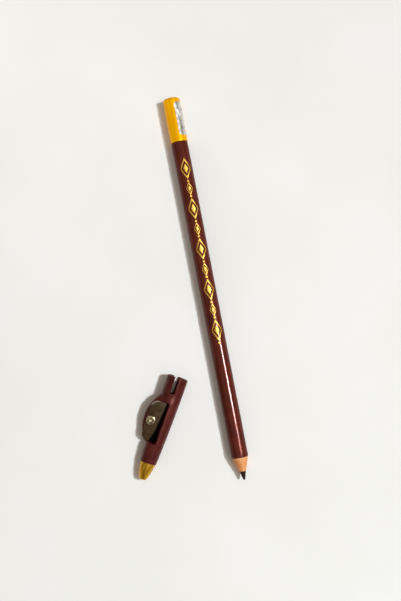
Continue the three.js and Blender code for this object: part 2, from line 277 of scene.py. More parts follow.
def turned(name, profile, closed=False, change=None, segments=TURNED_SEGMENTS):
    mesh = bmesh.new()
    rings = []
    for radius, y in profile:
        if radius == 0:
            rings.append([mesh.verts.new((0, y, 0))])
            continue
        ring = []
        for i in range(segments):
            angle = 2 * pi * i / segments
            r, along = change(radius, y, angle) if change else (radius, y)
            ring.append(mesh.verts.new((r * sin(angle), along, r * cos(angle))))
        rings.append(ring)
    pairs = list(zip(rings, rings[1:]))
    if closed:
        pairs.append((rings[-1], rings[0]))
    for a, b in pairs:
        bridge(mesh, a, b)
    return closed_mesh(name, mesh)


def finish_piece(name, mesh, place, material, sharp=30):
    mesh.transform(place)
    mesh.materials.clear()
    mesh.materials.append(material)
    mesh.shade_smooth()
    mesh.set_sharp_from_angle(angle=radians(sharp))
    return add_object(name, mesh)


def scraped(radius, y, angle):
    depth = noise.noise(Vector((SCRAPES_AROUND * sin(angle), SCRAPES_ALONG * y, SCRAPES_AROUND * cos(angle))))
    on_cone = PENCIL_POINT + SCRAPE_START < y < PENCIL_POINT + LEAD_TAPER_END
    return radius + (SCRAPE_DEPTH * depth if on_cone else 0), y


lead_profile = [
    (LEAD_POINT_RADIUS * sin(radians(a)), PENCIL_POINT + LEAD_POINT_ROUND * (1 - cos(radians(a))))
    for a in range(0, 90, 15)]
for i in range(LEAD_STEPS + 1):
    part = i / LEAD_STEPS
    lead_profile.append((
        LEAD_POINT_RADIUS + (LEAD_RADIUS - LEAD_POINT_RADIUS) * part,
        PENCIL_POINT + LEAD_POINT_ROUND + (LEAD_TAPER_END - LEAD_POINT_ROUND) * part))
lead_profile += [(LEAD_RADIUS, SLAT_END), (0, SLAT_END)]

# Pigment wax: nearly black, softly shiny where the blade burnished it, with a crumbly grain.
pigment_wax, tree, shader, place = start_material(
    "pigment_wax", {"Roughness": 0.6, "Specular IOR Level": 0.15})
crumbs = add_node(tree, "ShaderNodeTexNoise", {"Vector": place, "Scale": 1 / (CRUMB_SIZE * MM), "Detail": 4})
tone = set_ramp(add_node(tree, "ShaderNodeValToRGB", {0: crumbs}), (0.35, LEAD_DARK), (0.7, LEAD_LIGHT))
crumb_bump = add_node(
    tree, "ShaderNodeBump", {"Height": crumbs, "Strength": 0.5, "Distance": CRUMB_DEPTH * MM})
connect(shader, {"Base Color": tone, "Normal": crumb_bump})

lead = finish_piece("lead", turned("lead", lead_profile, change=scraped), pencil_place, pigment_wax, sharp=40)
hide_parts("pigment_lead")
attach(lead, "pencil")

# Casing halves
# Two grooved half-round slats of pale softwood, glued round the lead and shaped round.
# The sharpener cuts them to a cone, which shows the grain and the fine rings of the blade.
BARREL_RADIUS = 3.72
LACQUER_THICKNESS = 0.15
FIT_GAP = 0.02
WOOD_RADIUS = BARREL_RADIUS - LACQUER_THICKNESS - FIT_GAP
CONE_NOSE_RADIUS = 1.55
CONE_NOSE = PENCIL_POINT + 3.9
CONE_END = PENCIL_POINT + 10.6
CONE_SLOPE = (BARREL_RADIUS - CONE_NOSE_RADIUS) / (CONE_END - CONE_NOSE)
GLUE_SEAM = 0.06
GROOVE_RADIUS = LEAD_RADIUS + FIT_GAP
SLAT_STEPS = 64
CONE_STEPS = 40
CHATTER_DEPTH = 0.012
CHATTER_AROUND = 3
CHATTER_ALONG = 6
CHATTER_LAYER = 5
GRAIN_WIDTH = 1.1
GRAIN_LENGTH = 14
GRAIN_DEPTH = 0.04
RING_SPACING = 0.632
# A wave texture turns through this many radians in each unit of its scale
WAVE_RADIANS = 20
RING_DEPTH = 0.02
DUST_SPECK = 0.5
DUST_RAGGED = 0.9
DUST_FROM = CONE_NOSE + 0.35
DUST_TO = CONE_NOSE + 0.95
UNDERCOAT_FROM = CONE_END - 1.1
UNDERCOAT_TO = CONE_END - 0.6
WOOD_LIGHT = "#EBA870"
WOOD_MIDDLE = "#E49959"
WOOD_DARK = "#D48445"
UNDERCOAT = "#EFBE98"
SMEAR = "#6A3324"


def half_slat(name, side):
    wood_end = CONE_NOSE + (WOOD_RADIUS - CONE_NOSE_RADIUS) / CONE_SLOPE
    cone = [CONE_NOSE + (wood_end - CONE_NOSE) * i / CONE_STEPS for i in range(CONE_STEPS + 1)]
    mesh = bmesh.new()
    loops = []
    for y in cone + [SLAT_END]:
        radius = min(WOOD_RADIUS, CONE_NOSE_RADIUS + CONE_SLOPE * (y - CONE_NOSE))
        outer_limit = acos(GLUE_SEAM / 2 / radius)
        inner_limit = acos(GLUE_SEAM / 2 / GROOVE_RADIUS)
        outer = []
        inner = []
        for i in range(SLAT_STEPS + 1):
            part = 2 * i / SLAT_STEPS - 1
            chatter = noise.noise(Vector((CHATTER_AROUND * part, CHATTER_ALONG * y, CHATTER_LAYER * side)))
            cut = radius + (CHATTER_DEPTH * chatter if y < wood_end else 0)
            angle = part * outer_limit
            outer.append(mesh.verts.new((cut * sin(angle), y, side * cut * cos(angle))))
            angle = part * inner_limit
            inner.append(mesh.verts.new((GROOVE_RADIUS * sin(angle), y, side * GROOVE_RADIUS * cos(angle))))
        loops.append(outer + inner[::-1])
    for a, b in zip(loops, loops[1:]):
        bridge(mesh, a, b)
    for loop in (loops[0], loops[-1]):
        for i in range(SLAT_STEPS):
            mesh.faces.new((loop[i], loop[i + 1], loop[-2 - i], loop[-1 - i]))
    return closed_mesh(name, mesh)


def repeats(*sizes):
    return tuple(1 / (size * MM) for size in sizes)


# Pale softwood, cut with a blade: soft grain bands run along the pencil, and fine cutting rings cross them.
# Pigment dust darkens the last half millimetre at the lead, and a pale undercoat rims the lacquer.
cut_softwood, tree, shader, place = start_material("cut_softwood", {"Roughness": 0.62})
along_grain = add_node(
    tree, "ShaderNodeMapping", {"Vector": place, "Scale": repeats(GRAIN_WIDTH, GRAIN_LENGTH, GRAIN_WIDTH)})
grain = add_node(tree, "ShaderNodeTexNoise", {"Vector": along_grain, "Scale": 1, "Detail": 2})
wood_tone = set_ramp(
    add_node(tree, "ShaderNodeValToRGB", {0: grain}),
    (0.3, WOOD_DARK), (0.5, WOOD_MIDDLE), (0.68, WOOD_LIGHT))
depth = add_node(tree, "ShaderNodeSeparateXYZ", {0: place}, output="Y")
dust_noise = add_node(
    tree, "ShaderNodeTexNoise", {"Vector": place, "Scale": 1 / (DUST_SPECK * MM), "Detail": 4})
dust_edge = add_node(
    tree, "ShaderNodeMath", {0: dust_noise, 1: DUST_RAGGED * MM, 2: depth}, operation="MULTIPLY_ADD")
dust = add_node(
    tree, "ShaderNodeMapRange",
    {"Value": dust_edge, "From Min": DUST_FROM * MM, "From Max": DUST_TO * MM, "To Min": 0.75, "To Max": 0.0})
dusty = add_node(
    tree, "ShaderNodeMix", {0: dust, 6: wood_tone, 7: linear(SMEAR)}, output=2, data_type="RGBA")
undercoat = add_node(
    tree, "ShaderNodeMapRange",
    {"Value": depth, "From Min": UNDERCOAT_FROM * MM, "From Max": UNDERCOAT_TO * MM, "To Max": 0.5})
rimmed = add_node(
    tree, "ShaderNodeMix", {0: undercoat, 6: dusty, 7: linear(UNDERCOAT)}, output=2, data_type="RGBA")
rings = add_node(
    tree, "ShaderNodeTexWave",
    {"Vector": place, "Scale": 2 * pi / (WAVE_RADIANS * RING_SPACING * MM), "Distortion": 1.5, "Detail": 2},
    output=1, bands_direction="Y")
ring_bump = add_node(
    tree, "ShaderNodeBump", {"Height": rings, "Strength": 0.25, "Distance": RING_DEPTH * MM})
grain_bump = add_node(
    tree, "ShaderNodeBump",
    {"Height": grain, "Strength": 0.4, "Distance": GRAIN_DEPTH * MM, "Normal": ring_bump})
connect(shader, {"Base Color": rimmed, "Normal": grain_bump})

for name, side in (("upper", 1), ("lower", -1)):
    slat = finish_piece(f"casing_{name}", half_slat(f"casing_{name}", side), pencil_place, cut_softwood)
    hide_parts(f"casing_{name}_half")
    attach(slat, "pencil")

# Barrel lacquer
# Several dipped coats of burgundy nitrocellulose lacquer, polished to a high gloss.
# The sharpener cuts it back along the cone, which leaves a thin, slightly ragged edge.
LACQUER_RAGGED = 0.07
RAGGED_END = CONE_END + 1
# Broad and fine chips: how fine they are, their share of the depth, and their layer in the noise
CHIPS = ((5, 1, 1.7), (14, 0.5, 8.1))
LACQUER_EDGE_DROP = 0.02
LACQUER_EDGE_START = CONE_END - 0.05
LACQUER_EDGE_END = CONE_END + 0.03
LACQUER_FULL = CONE_END + 2
LACQUER_CLOUD = 6
PEEL_SIZE = 1.5
PEEL_DEPTH = 0.03
LACQUER_DEEP = "#511F17"
LACQUER_MIDDLE = "#5C2318"
LACQUER_WARM = "#65281C"
LACQUER_GLOSS = "#B46450"
lacquer_inside = BARREL_RADIUS - LACQUER_THICKNESS
lacquer_profile = [
    (lacquer_inside, CONE_END - LACQUER_THICKNESS / CONE_SLOPE),
    (BARREL_RADIUS - LACQUER_EDGE_DROP, LACQUER_EDGE_START), (BARREL_RADIUS, LACQUER_EDGE_END),
    (BARREL_RADIUS, LACQUER_FULL), (BARREL_RADIUS, SLAT_END), (lacquer_inside, SLAT_END)]


def ragged(radius, y, angle):
    chip = sum(
        share * noise.noise(Vector((fineness * sin(angle), layer, fineness * cos(angle))))
        for fineness, share, layer in CHIPS)
    return radius, y + (LACQUER_RAGGED * chip if y < RAGGED_END else 0)


# Burgundy gloss lacquer: a clear skin over a deep red-brown, with a faint orange peel.
burgundy_lacquer, tree, shader, place = start_material(
    "burgundy_lacquer",
    {"Metallic": 0.25, "Roughness": 0.29, "Specular IOR Level": 0.08, "Specular Tint": linear(LACQUER_GLOSS),
     "Coat Weight": 0.052, "Coat Roughness": 0.12, "Coat IOR": 3.5})
cloud = add_node(
    tree, "ShaderNodeTexNoise", {"Vector": place, "Scale": 1 / (LACQUER_CLOUD * MM), "Detail": 3})
red = set_ramp(
    add_node(tree, "ShaderNodeValToRGB", {0: cloud}),
    (0.3, LACQUER_DEEP), (0.5, LACQUER_MIDDLE), (0.72, LACQUER_WARM))
peel = add_node(tree, "ShaderNodeTexNoise", {"Vector": place, "Scale": 1 / (PEEL_SIZE * MM), "Detail": 1})
peel_bump = add_node(tree, "ShaderNodeBump", {"Height": peel, "Strength": 0.12, "Distance": PEEL_DEPTH * MM})
connect(shader, {"Base Color": red, "Coat Normal": peel_bump})

lacquer = finish_piece(
    "lacquer", turned("lacquer", lacquer_profile, closed=True, change=ragged), pencil_place, burgundy_lacquer)
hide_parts("barrel_lacquer")
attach(lacquer, "pencil")

# Gold ornament
# Hot-stamped gold foil on the lacquer: a chain of large and small lozenges with dots between them.
# It is a plain geometric border.
BORDER_CELLS = 9
BORDER_TURN = 9
DOT_AFTER_LARGE = 0.62
DOT_AFTER_SMALL = 0.38
STREAK_SIZE = 0.8
STREAK_DEPTH = 0.02
FOIL_GOLD = "#E6B84A"
FOIL_DEEP = "#C8942C"
border_sizes = {
    "Step": -9.2,
    "Start": 54.0,
    "Lozenge Length": 8.6,
    "Lozenge Width": 4.6,
    "Stroke": 1.0,
    "Core Length": 4.2,
    "Core Width": 2.1,
    "Small Lozenge": 0.6,
    "Dot Radius": 0.42,
    "Border Turn": radians(BORDER_TURN),
    "Barrel Radius": BARREL_RADIUS,
    "Foil Thickness": 0.03,
}

tree = bpy.data.node_groups.new("gold_border", "GeometryNodeTree")
for label in border_sizes:
    tree.interface.new_socket(label, in_out="INPUT", socket_type="NodeSocketFloat")
tree.interface.new_socket("Cells", in_out="INPUT", socket_type="NodeSocketInt")
tree.interface.new_socket("Foil", in_out="INPUT", socket_type="NodeSocketMaterial")
tree.interface.new_socket("Border", in_out="OUTPUT", socket_type="NodeSocketGeometry")
size = add_node(tree, "NodeGroupInput").node.outputs

# One arm of a lozenge is a flat bar bent to a V; a second arm, turned half round, closes the outline.
arm_size = add_node(
    tree, "ShaderNodeCombineXYZ", {0: size["Lozenge Width"], 1: size["Stroke"], 2: size["Foil Thickness"]})
bar = add_node(tree, "GeometryNodeMeshCube", {"Size": arm_size, "Vertices X": 13, "Vertices Y": 2})
spot = add_node(tree, "GeometryNodeInputPosition")
flat_spot = add_node(tree, "ShaderNodeSeparateXYZ", {0: spot}).node.outputs
off_middle = add_node(tree, "ShaderNodeMath", {0: flat_spot["X"]}, operation="ABSOLUTE")
half_width, half_length = [
    add_node(tree, "ShaderNodeMath", {0: size[side], 1: 0.5}, operation="MULTIPLY")
    for side in ("Lozenge Width", "Lozenge Length")]
rise = add_node(
    tree, "ShaderNodeMapRange",
    {"Value": off_middle, "From Max": half_width, "To Min": half_length, "To Max": 0.0})
lift = add_node(tree, "ShaderNodeCombineXYZ", {1: rise})
arm = add_node(tree, "GeometryNodeSetPosition", {"Geometry": bar, "Offset": lift})
other_arm = add_node(tree, "GeometryNodeTransform", {"Geometry": arm, "Rotation": (0, 0, pi)})

# The solid core is a square plate stood on its corner and stretched.
plate_size = add_node(tree, "ShaderNodeCombineXYZ", {0: 1, 1: 1, 2: size["Foil Thickness"]})
plate = add_node(tree, "GeometryNodeMeshCube", {"Size": plate_size, "Vertices X": 7, "Vertices Y": 7})
on_corner = add_node(tree, "GeometryNodeTransform", {"Geometry": plate, "Rotation": (0, 0, pi / 4)})
core_size = add_node(
    tree, "ShaderNodeCombineXYZ", {0: size["Core Width"], 1: size["Core Length"], 2: sqrt(2)})
core_scale = add_node(tree, "ShaderNodeVectorMath", {0: core_size, "Scale": 1 / sqrt(2)}, operation="SCALE")
core = add_node(tree, "GeometryNodeTransform", {"Geometry": on_corner, "Scale": core_scale})
lozenge = add_node(tree, "GeometryNodeJoinGeometry", {0: [arm, other_arm, core]})

# Every second lozenge in the chain is smaller.
chain_start = add_node(tree, "ShaderNodeCombineXYZ", {1: size["Start"]})
chain_step = add_node(tree, "ShaderNodeCombineXYZ", {1: size["Step"]})
chain = add_node(
    tree, "GeometryNodeMeshLine",
    {"Count": size["Cells"], "Start Location": chain_start, "Offset": chain_step})
number = add_node(tree, "GeometryNodeInputIndex")
odd = add_node(tree, "ShaderNodeMath", {0: number, 1: 2.0}, operation="MODULO")
share = add_node(
    tree, "ShaderNodeMapRange", {"Value": odd, "To Min": 1.0, "To Max": size["Small Lozenge"]})
cell_scale = add_node(tree, "ShaderNodeCombineXYZ", {0: share, 1: share, 2: 1})
lozenges = add_node(
    tree, "GeometryNodeInstanceOnPoints", {"Points": chain, "Instance": lozenge, "Scale": cell_scale})

# Round dots sit between the lozenges.
dot = add_node(
    tree, "GeometryNodeMeshCylinder",
    {"Vertices": 20, "Radius": size["Dot Radius"], "Depth": size["Foil Thickness"]})
gap_share = add_node(
    tree, "ShaderNodeMapRange", {"Value": odd, "To Min": DOT_AFTER_LARGE, "To Max": DOT_AFTER_SMALL})
gap_middle = add_node(tree, "ShaderNodeMath", {0: gap_share, 1: size["Step"]}, operation="MULTIPLY")
dot_shift = add_node(tree, "ShaderNodeCombineXYZ", {1: gap_middle})
between = add_node(tree, "GeometryNodeSetPosition", {"Geometry": chain, "Offset": dot_shift})
dots = add_node(tree, "GeometryNodeInstanceOnPoints", {"Points": between, "Instance": dot})
instances = add_node(tree, "GeometryNodeJoinGeometry", {0: [lozenges, dots]})

# The flat border is wrapped round the barrel.
flat = add_node(tree, "GeometryNodeRealizeInstances", {0: instances})
wrap = add_node(tree, "ShaderNodeMath", {0: flat_spot["X"], 1: size["Barrel Radius"]}, operation="DIVIDE")
turn = add_node(tree, "ShaderNodeMath", {0: wrap, 1: size["Border Turn"]}, operation="ADD")
radius = add_node(tree, "ShaderNodeMath", {0: flat_spot["Z"], 1: size["Barrel Radius"]}, operation="ADD")
raised = add_node(tree, "ShaderNodeCombineXYZ", {1: flat_spot["Y"], 2: radius})
wrapped = add_node(
    tree, "ShaderNodeVectorRotate", {"Vector": raised, "Angle": turn}, rotation_type="Y_AXIS")
on_barrel = add_node(tree, "GeometryNodeSetPosition", {"Geometry": flat, "Position": wrapped})
foiled = add_node(tree, "GeometryNodeSetMaterial", {"Geometry": on_barrel, "Material": size["Foil"]})
add_node(tree, "NodeGroupOutput", {0: foiled})
border_tree = tree

# Hot-stamp foil: a metallised film, warm gold, with fine lighter and darker streaks from the stamping.
stamped_gold, tree, shader, place = start_material("stamped_gold_foil", {"Metallic": 0.55, "Roughness": 0.38})
streak = add_node(tree, "ShaderNodeTexNoise", {"Vector": place, "Scale": 1 / (STREAK_SIZE * MM), "Detail": 4})
gold = set_ramp(add_node(tree, "ShaderNodeValToRGB", {0: streak}), (0.3, FOIL_DEEP), (0.55, FOIL_GOLD))
foil_bump = add_node(
    tree, "ShaderNodeBump", {"Height": streak, "Strength": 0.2, "Distance": STREAK_DEPTH * MM})
connect(shader, {"Base Color": gold, "Normal": foil_bump})

border_sheet = add_object("gold_border", bpy.data.meshes.new("gold_border"))
modifier = border_sheet.modifiers.new("border", "NODES")
modifier.node_group = border_tree
values = {**border_sizes, "Cells": BORDER_CELLS, "Foil": stamped_gold}
for socket in border_tree.interface.items_tree:
    if socket.in_out == "INPUT":
        modifier[socket.identifier] = values[socket.name]


def evaluated_mesh(thing):
    depsgraph = bpy.context.evaluated_depsgraph_get()
    mesh = bpy.data.meshes.new_from_object(thing.evaluated_get(depsgraph), depsgraph=depsgraph)
    bpy.data.objects.remove(thing)
    return mesh


gold_border = finish_piece("gold_border", evaluated_mesh(border_sheet), pencil_place, stamped_gold)
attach(gold_border, "pencil")

# Gold end
# The butt end is dipped in a gold-bronze paint that covers the wood, the lead and the lacquer.
# It has a rounded rim and a slightly thicker bead where the dip stopped.
CUP_RADIUS = 3.82
CUP_INSIDE = BARREL_RADIUS + FIT_GAP
CUP_RIM = PENCIL_BUTT - 20.2
CUP_ROUND = 0.9
CUP_FLOOR = PENCIL_BUTT - 0.35
CUP_LIP = 0.1
CUP_LIP_INSET = 0.08
# The bead's height over the coat, and how far that is from the rim
CUP_BEAD = ((0.03, 0.35), (0.02, 0.7), (0, 1.2))
RUN_WIDTH = 1.2
RUN_LENGTH = 9
RUN_DEPTH = 0.05
# Where the painted shade of the rounded rim begins
RIM_SHADE_START = PENCIL_BUTT - 1.3
CUP_GOLD = "#FFB600"
CUP_DEEP = "#F8A800"
CUP_LIGHT = "#FFC206"
CUP_RIM_SHADE = "#BE920C"
cup_profile = [(0, CUP_FLOOR), (CUP_INSIDE, CUP_FLOOR), (CUP_INSIDE, CUP_RIM)]
cup_profile += arc(CUP_RADIUS - CUP_LIP_INSET, CUP_RIM + CUP_LIP, CUP_LIP, -90, 0, 5)
cup_profile += [(CUP_RADIUS + height, CUP_RIM + past_rim) for height, past_rim in CUP_BEAD]
cup_profile += arc(CUP_RADIUS - CUP_ROUND, PENCIL_BUTT - CUP_ROUND, CUP_ROUND, 0, 90, 12)
cup_profile += [(CUP_RADIUS / 2, PENCIL_BUTT), (0, PENCIL_BUTT)]

# Gold-bronze dip paint: amber with a fine flake, a satin shine and soft runs along the barrel.
# Towards the butt it is painted darker and olive, as shade on the rounded rim.
gold_dip, tree, shader, place = start_material(
    "gold_bronze_dip",
    {"Metallic": 0.45, "Roughness": 0.38, "Specular IOR Level": 0.05,
     "Coat Weight": 0.03, "Coat Roughness": 0.35, "Coat IOR": 1.5})
run_map = add_node(
    tree, "ShaderNodeMapping", {"Vector": place, "Scale": repeats(RUN_WIDTH, RUN_LENGTH, RUN_WIDTH)})
runs = add_node(tree, "ShaderNodeTexNoise", {"Vector": run_map, "Scale": 1, "Detail": 4})
amber = set_ramp(
    add_node(tree, "ShaderNodeValToRGB", {0: runs}), (0.3, CUP_DEEP), (0.5, CUP_GOLD), (0.75, CUP_LIGHT))
height = add_node(tree, "ShaderNodeSeparateXYZ", {0: place}, output="Y")
# Painted shade: the last stretch towards the butt mixes to a darker olive
rim_shade = add_node(
    tree, "ShaderNodeMapRange",
    {"Value": height, "From Min": RIM_SHADE_START * MM, "From Max": PENCIL_BUTT * MM, "To Max": 0.8})
rim_shaded = add_node(
    tree, "ShaderNodeMix", {0: rim_shade, 6: amber, 7: linear(CUP_RIM_SHADE)}, output=2, data_type="RGBA")
run_bump = add_node(tree, "ShaderNodeBump", {"Height": runs, "Strength": 0.15, "Distance": RUN_DEPTH * MM})
connect(shader, {"Base Color": rim_shaded, "Normal": run_bump})

gold_end = finish_piece("gold_end", turned("gold_end", cup_profile), pencil_place, gold_dip)
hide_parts("gold_end_cup")
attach(gold_end, "pencil")

# Foil label
# A plain silver sticker of metallised film, wrapped round the right side of the gold end.
# It has rounded corners, and the film has crinkled a little where it bends round the barrel.
LABEL_INSIDE = CUP_RADIUS + FIT_GAP
LABEL_THICKNESS = 0.08
LABEL_HIGH = PENCIL_BUTT - 2.3
LABEL_LOW = LABEL_HIGH - 15.3
LABEL_FROM = 11
LABEL_TO = 132
LABEL_SKEW = 1
LABEL_CORNER = 1.3
LABEL_CRINKLE = 0.035
# Folds and finer crumples: how close they lie round, aslant and along the barrel, their share, their layer
LABEL_FOLDS = ((2.2, 0.35, 0.5, 1, 3), (6, 0, 1.2, 0.5, 7))
LABEL_LIFT = 0.06
LABEL_LIFT_TURN = 8
LABEL_STUCK = 3.6
CREASE_HEIGHT = 0.12
CREASE_WIDTH = 0.3
CREASE_FROM = Vector((2.1, 81.2))
CREASE_TO = Vector((3.3, 75.6))
LABEL_ROWS = 130
LABEL_COLUMNS = 90
DENT_SIZE = 2
DENT_DEPTH = 0.08
LABEL_SILVER = "#E4E2DD"
LABEL_GREY = "#C4C0B9"


def label_edge(y):
    return radians(LABEL_FROM + LABEL_SKEW * (LABEL_HIGH - y) / (LABEL_HIGH - LABEL_LOW))


def label_rise(angle, y):
    fold = sum(
        share * noise.noise(Vector((around * angle + slant * y, lengthwise * y, layer)))
        for around, slant, lengthwise, share, layer in LABEL_FOLDS)
    loose = max(0, 1 - (angle - label_edge(y)) / radians(LABEL_LIFT_TURN)) ** 2
    loose *= min(1, max(0, (LABEL_HIGH - y) / LABEL_STUCK - 0.5))
    spot = Vector((angle * LABEL_INSIDE, y))
    crease = CREASE_TO - CREASE_FROM
    along = (spot - CREASE_FROM).dot(crease) / crease.length_squared
    off = (spot - CREASE_FROM.lerp(CREASE_TO, min(1, max(0, along)))).length / CREASE_WIDTH
    return LABEL_CRINKLE * (0.5 + 0.5 * fold) + LABEL_LIFT * loose + CREASE_HEIGHT * 2 ** -(off * off)


def label_film(name):
    mesh = bmesh.new()
    skins = {0: [], 1: []}
    for row in range(LABEL_ROWS + 1):
        y = LABEL_LOW + (LABEL_HIGH - LABEL_LOW) * row / LABEL_ROWS
        middle = (label_edge(y) + radians(LABEL_TO)) / 2
        half_turn = (radians(LABEL_TO) - label_edge(y)) / 2
        into_corner = max(0, LABEL_CORNER - min(y - LABEL_LOW, LABEL_HIGH - y))
        pull_in = LABEL_CORNER - sqrt(LABEL_CORNER ** 2 - into_corner ** 2)
        reach = half_turn - pull_in / LABEL_INSIDE
        for layer in skins:
            line = []
            for column in range(LABEL_COLUMNS + 1):
                angle = middle + reach * (2 * column / LABEL_COLUMNS - 1)
                r = LABEL_INSIDE + layer * (LABEL_THICKNESS + label_rise(angle, y))
                line.append(mesh.verts.new((r * sin(angle), y, r * cos(angle))))
            skins[layer].append(line)
    outlines = []
    for rows in skins.values():
        for a, b in zip(rows, rows[1:]):
            for i in range(LABEL_COLUMNS):
                mesh.faces.new((a[i], a[i + 1], b[i + 1], b[i]))
        first_edge = [row[0] for row in rows]
        last_edge = [row[-1] for row in rows]
        outlines.append(rows[0] + last_edge[1:-1] + rows[-1][::-1] + first_edge[-2:0:-1])
    bridge(mesh, *outlines)
    return closed_mesh(name, mesh)


# Metallised film: a mirror-like silver with a brushed haze and small dents.
silver_film, tree, shader, place = start_material("metallised_silver_film", {"Metallic": 0.9})
dents = add_node(tree, "ShaderNodeTexNoise", {"Vector": place, "Scale": 1 / (DENT_SIZE * MM), "Detail": 3})
silver = set_ramp(
    add_node(tree, "ShaderNodeValToRGB", {0: dents}), (0.35, LABEL_GREY), (0.6, LABEL_SILVER))
haze = add_node(tree, "ShaderNodeMapRange", {"Value": dents, "To Min": 0.18, "To Max": 0.42})
dent_bump = add_node(tree, "ShaderNodeBump", {"Height": dents, "Strength": 0.3, "Distance": DENT_DEPTH * MM})
connect(shader, {"Base Color": silver, "Roughness": haze, "Normal": dent_bump})

label_piece = finish_piece("silver_label", label_film("silver_label"), pencil_place, silver_film, sharp=50)
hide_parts("foil_label")
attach(label_piece, "pencil")

# Cap body
# One injection moulding in burgundy polypropylene: a tapered tube with a slotted, springy mouth,
# a nose for the gold tip, and a half-moon fin with a sloping seat for the sharpener blade.
CAP_MOUTH = Vector((0.5318, -36.81, 4.9643))
CAP_TURN = -30.2
MOUTH_RADIUS = 4.72
MOUTH_ROUND = 0.55
SHOULDER_RADIUS = 3.69
SHOULDER_DEPTH = 40
BORE_RADIUS = 3.92
BORE_DEPTH = 11.65
BORE_FLARE = 0.25
BORE_FLARE_DEPTH = 0.4
CONE_DEPTH = 28.15
POINT_RELIEF_RADIUS = 0.7
POINT_RELIEF_DEPTH = 30.85
SLIT_WIDTH = 1.95
SLIT_DEPTH = 7.75
SLIT_CORNER = 0.45
SLIT_LEAN = 6
NOSE_DEPTH = 46.25
NOSE_RADIUS = 2.72
NOSE_END_RADIUS = 1.36
SEAT_DEPTH = 21.15
SEAT_LOW = 0.05
FIN_RADIUS = 19
FIN_REACH = 8.62
FIN_THICKNESS = 4.28
FIN_ROUND = 1.5
FIN_TOP = 11.1
FIN_BOTTOM = -10.4
FIN_TRIM = 0.02
FIN_SEGMENTS = 256
WINDOW_START = 12.1
WINDOW_END = 31.25
WINDOW_WALL = 0.5
CHIP_GAP_LEFT = -0.6
CHIP_GAP_DEPTH = 1.8
CHIP_GAP_TOP = 0.3
CHIP_GAP_BOTTOM = 0.5
SCREW_X = -4.9
SCREW_Y = -0.35
SCREW_HOLE_RADIUS = 0.95
SCREW_HOLE_SIDES = 48
CLEAR = 1
REACH = 14
VOXEL = 0.17
SOFTEN_STEPS = 5
FLOW_SIZE = 5
SPARK_SIZE = 0.25
SPARK_DEPTH = 0.03
SINK_CENTRE = Vector((1.0, -8.6, 4.4))
SINK_RADIUS = 4.2
SINK_DEPTH = 0.36
CAP_RED = "#53201E"
CAP_DEEP = "#441716"
CAP_WORN = "#622A27"
CAP_GLOSS = "#FFC8B8"

cap_dip = atan((MOUTH_RADIUS - SHOULDER_RADIUS) / SHOULDER_DEPTH)
cap_place = (
    Matrix.Scale(MM, 4) @ Matrix.Translation(CAP_MOUTH) @ Matrix.Rotation(radians(CAP_TURN), 4, "Z")
    @ Matrix.Rotation(cap_dip, 4, "X"))
bore_slope = atan((BORE_RADIUS - POINT_RELIEF_RADIUS) / (CONE_DEPTH - BORE_DEPTH))
seat_height = BORE_RADIUS - (SEAT_DEPTH - BORE_DEPTH) * tan(bore_slope) - SEAT_LOW
seat_place = Matrix.Translation((0, -SEAT_DEPTH, seat_height)) @ Matrix.Rotation(bore_slope, 4, "X")
upright = Matrix.Rotation(pi / 2, 4, "X")
across = Matrix(((0, 0, 1, 0), (1, 0, 0, 0), (0, 1, 0, 0), (0, 0, 0, 1)))


def curve(start, control, end, steps=8):
    parts = [i / steps for i in range(steps + 1)]
    return [tuple((1 - t) ** 2 * a + 2 * t * (1 - t) * b + t * t * c for a, b, c in zip(start, control, end))
            for t in parts]


def prism(name, outline, low, high, place=Matrix.Identity(4)):
    mesh = bmesh.new()
    rings = [[mesh.verts.new((x, y, z)) for x, y in outline] for z in (low, high)]
    for ring in rings:
        mesh.faces.new(ring)
    bridge(mesh, *rings)
    result = closed_mesh(name, mesh)
    result.transform(place)
    return result


def rectangle(left, low, right, high):
    return [(left, low), (right, low), (right, high), (left, high)]


def shaped(mesh, *steps):
    block = add_object("block", mesh)
    for kind, settings in steps:
        modifier = block.modifiers.new(kind, kind)
        for name, value in settings.items():
            setattr(modifier, name, value)
    return evaluated_mesh(block)


def carved(base, *cuts):
    steps = []
    for operation, mesh in cuts:
        tool = add_object("tool", mesh)
        steps.append(("BOOLEAN", {"operation": operation, "solver": "EXACT", "object": tool}))
    result = shaped(base, *steps)
    for _, settings in steps:
        bpy.data.objects.remove(settings["object"])
    return result


tube_profile = [(0, -NOSE_DEPTH), (NOSE_END_RADIUS, -NOSE_DEPTH), (NOSE_RADIUS, -SHOULDER_DEPTH)]
tube_profile += curve(
    (SHOULDER_RADIUS, -SHOULDER_DEPTH), (MOUTH_RADIUS, -(SHOULDER_DEPTH + MOUTH_ROUND) / 2),
    (MOUTH_RADIUS, -MOUTH_ROUND), 24)
tube_profile += arc(MOUTH_RADIUS - MOUTH_ROUND, -MOUTH_ROUND, MOUTH_ROUND, 0, 90) + [(0, 0)]
bore_profile = [(0, -POINT_RELIEF_DEPTH), (POINT_RELIEF_RADIUS, -POINT_RELIEF_DEPTH)]
bore_profile += [(POINT_RELIEF_RADIUS, -CONE_DEPTH), (BORE_RADIUS, -BORE_DEPTH)]
bore_profile += [(BORE_RADIUS, -BORE_FLARE_DEPTH), (BORE_RADIUS + BORE_FLARE, 0)]
bore_profile += [(BORE_RADIUS + BORE_FLARE, CLEAR), (0, CLEAR)]
bore = turned("bore", bore_profile)

fin_rim = FIN_RADIUS - FIN_ROUND
fin_profile = [(0, -FIN_THICKNESS)] + arc(fin_rim, FIN_ROUND - FIN_THICKNESS, FIN_ROUND, -90, 0)
fin_profile += arc(fin_rim, -FIN_ROUND, FIN_ROUND, 0, 90) + [(0, 0)]
fin_disc = turned("fin_disc", fin_profile, segments=FIN_SEGMENTS)
fin_disc.transform(Matrix.Translation((FIN_RADIUS - FIN_REACH, 0, FIN_TRIM)) @ upright)
fin_side = prism("fin_side", rectangle(-REACH, FIN_BOTTOM, 0, FIN_TOP), -REACH, REACH)
fin = carved(fin_disc, ("INTERSECT", fin_side))
fin.transform(seat_place)

